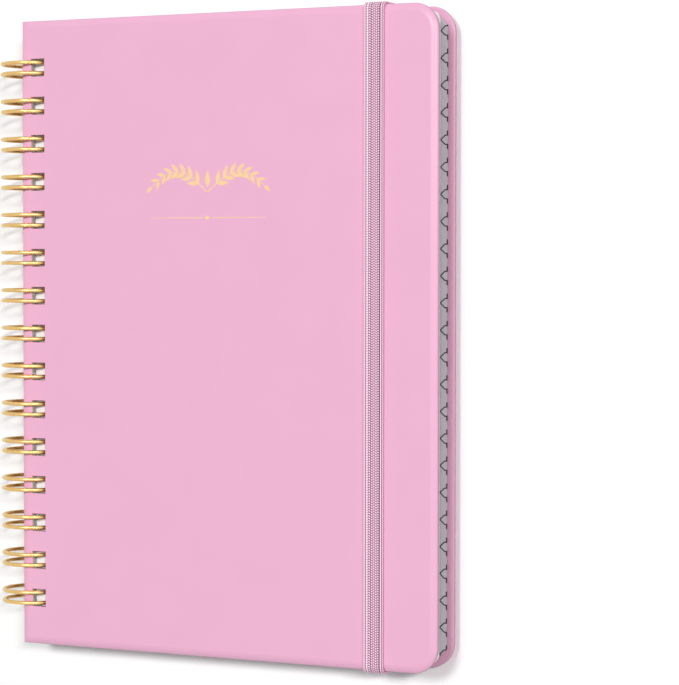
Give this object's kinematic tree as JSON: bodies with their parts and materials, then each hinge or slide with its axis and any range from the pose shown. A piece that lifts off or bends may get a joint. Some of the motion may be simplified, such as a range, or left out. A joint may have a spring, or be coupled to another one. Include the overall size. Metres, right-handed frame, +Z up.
{
  "type": "budget planner",
  "caption": "Wire-bound hardcover planner with rounded fore-edge corners, patterned liners, a page block and an elastic closing band.",
  "frame": {"origin": "middle of the bounding box's underside, level with the lowest point of the wire loops", "axes": "+X from the spine to the fore edge, +Y to the top of the page, +Z up through the front cover, with the planner lying on its back cover"},
  "size_m": [0.1638, 0.2108, 0.0217],
  "materials": {
    "cover_wrap": "soft-touch matte laminated pink wrap over grey board",
    "printed_liner": "matte pale grey endpaper with a thin black trellis line",
    "page_paper": "uncoated white text paper, cut edges",
    "gold_wire": "bright gold-coloured coated steel wire",
    "elastic_weave": "flat woven elastic, pink with pale ribs"
  },
  "bodies": {
    "back_cover": {"back_cover": "cover_wrap", "back_liner": "printed_liner", "binding_wire": "gold_wire"},
    "page_block": {"page_block": "page_paper"},
    "front_cover": {"front_cover": "cover_wrap", "front_liner": "printed_liner"},
    "elastic_band": {"elastic_band": "elastic_weave"}
  },
  "joints": [
    {"name": "pages_turn", "type": "hinge", "parent": "back_cover", "child": "page_block", "pos_m": [-0.071, 0, 0.0109], "axis": [0, -1, 0], "range_deg": [0, 180], "deforming": ["elastic_band"]},
    {"name": "cover_opens", "type": "hinge", "parent": "page_block", "child": "front_cover", "pos_m": [-0.071, 0, 0.0109], "axis": [0, -1, 0], "range_deg": [0, 180], "deforming": ["elastic_band"]},
    {"name": "band_slips_off", "type": "slide", "parent": "back_cover", "child": "elastic_band", "axis": [1, 0, 0], "range_m": [0, 0.028]}
  ]
}
